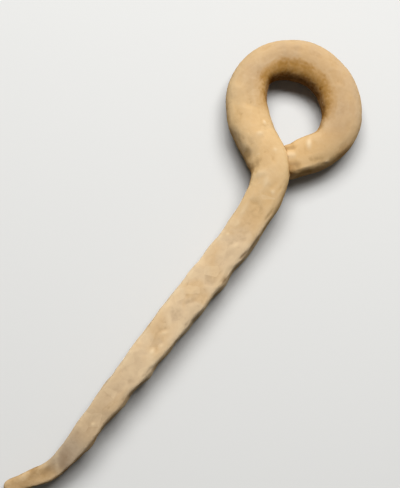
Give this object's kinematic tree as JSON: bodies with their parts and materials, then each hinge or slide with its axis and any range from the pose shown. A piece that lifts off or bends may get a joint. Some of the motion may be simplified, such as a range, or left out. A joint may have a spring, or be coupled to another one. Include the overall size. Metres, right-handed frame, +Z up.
{
  "type": "nail hook",
  "caption": "Forged iron nail hook: round bar bent to a closed eye, with a hammered square shank that tapers to a blunt turned tip.",
  "frame": {"origin": "middle of the eye, at the height of the middle of the bar that forms it", "axes": "+Z up out of the plane of the eye, as the hook lies; the shank runs along -Y; +X is the side on which the bar's end closes the eye"},
  "size_m": [0.0404, 0.1543, 0.0143],
  "materials": {
    "iron": "matte tan rust over forged iron"
  },
  "bodies": {
    "root": {"nail_hook": "iron"}
  },
  "joints": []
}
